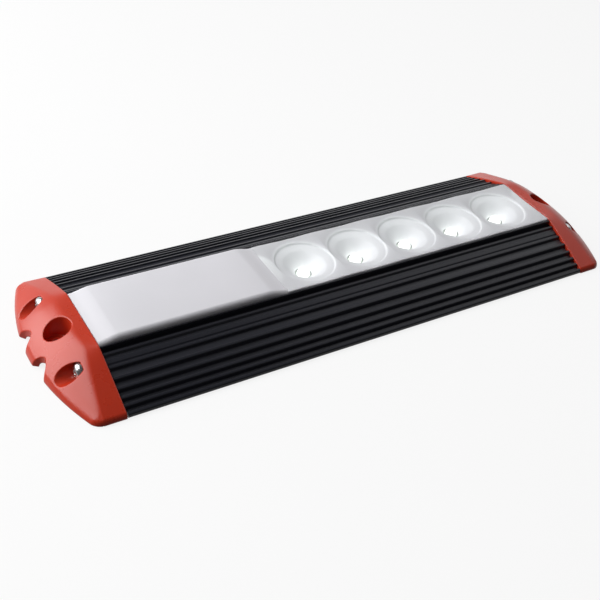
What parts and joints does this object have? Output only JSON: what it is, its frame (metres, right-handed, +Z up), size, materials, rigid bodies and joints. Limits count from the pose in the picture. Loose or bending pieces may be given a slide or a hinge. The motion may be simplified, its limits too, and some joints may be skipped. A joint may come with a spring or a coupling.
{
  "type": "led light bar",
  "caption": "Surface-mounted LED work light: finned black aluminium body with a glossy red cap at each end, a raised driver cover and a row of round bowl reflectors under a clear window.",
  "frame": {"origin": "centre of the underside, in the plane that lies on the mounting surface", "axes": "+X runs along the bar towards the end with the emitters, +Y across it, +Z is up out of the mounting surface, the way the light goes"},
  "size_m": [0.2664, 0.087, 0.0152],
  "materials": {
    "black_anodised": "black anodised, satin",
    "red_plastic": "glossy moulded",
    "silver_plastic": "smooth, pale silver",
    "white_plastic": "bright reflective white",
    "clear_plastic": "clear polished polycarbonate",
    "rubber": "black moulded rubber",
    "steel": "zinc plated",
    "brass": "turned",
    "white_board": "aluminium-core board with white solder mask",
    "green_board": "glass-epoxy board with green solder mask",
    "thermal_silicone": "soft filled silicone",
    "ceramic": "white ceramic",
    "phosphor_dome": "clear silicone dome over a pale phosphor",
    "black_epoxy": "moulded epoxy",
    "ferrite": "sintered ferrite",
    "copper": "enamelled copper wire",
    "aluminium_can": "drawn aluminium can",
    "terminal_green": "moulded nylon",
    "red_wire": "soft insulated wire",
    "black_wire": "soft insulated wire"
  },
  "bodies": {
    "root": {"blanking_plug": "rubber", "board_standoff_1": "brass", "board_standoff_2": "brass", "board_standoff_3": "brass", "board_standoff_4": "brass", "cable_grommet": "rubber", "cap_screw_1": "steel", "cap_screw_2": "steel", "cap_screw_3": "steel", "cap_screw_4": "steel", "cover_seal": "rubber", "driver_board": "green_board", "driver_board_screw_1": "steel", "driver_board_screw_2": "steel", "driver_board_screw_3": "steel", "driver_board_screw_4": "steel", "driver_chip": "black_epoxy", "driver_cover": "silver_plastic", "heatsink_body": "black_anodised", "inductor_core": "ferrite", "inductor_winding": "copper", "input_capacitor": "aluminium_can", "input_fuse": "ceramic", "led_base_1": "ceramic", "led_base_2": "ceramic", "led_base_3": "ceramic", "led_base_4": "ceramic", "led_base_5": "ceramic", "led_board": "white_board", "led_board_screw_1": "steel", "led_board_screw_2": "steel", "led_board_screw_3": "steel", "led_board_screw_4": "steel", "led_dome_1": "phosphor_dome", "led_dome_2": "phosphor_dome", "led_dome_3": "phosphor_dome", "led_dome_4": "phosphor_dome", "led_dome_5": "phosphor_dome", "led_lead_negative": "black_wire", "led_lead_positive": "red_wire", "left_cap_gasket": "rubber", "left_end_cap": "red_plastic", "lens_seal": "rubber", "lens_window": "clear_plastic", "output_capacitor": "aluminium_can", "reflector": "white_plastic", "reverse_diode": "black_epoxy", "right_cap_gasket": "rubber", "right_end_cap": "red_plastic", "sense_resistor": "black_epoxy", "supply_terminal_block": "terminal_green", "surge_suppressor": "black_epoxy", "switching_transistor": "black_epoxy", "terminal_screw_1": "steel", "terminal_screw_2": "steel", "thermal_pad": "thermal_silicone"}
  },
  "joints": []
}
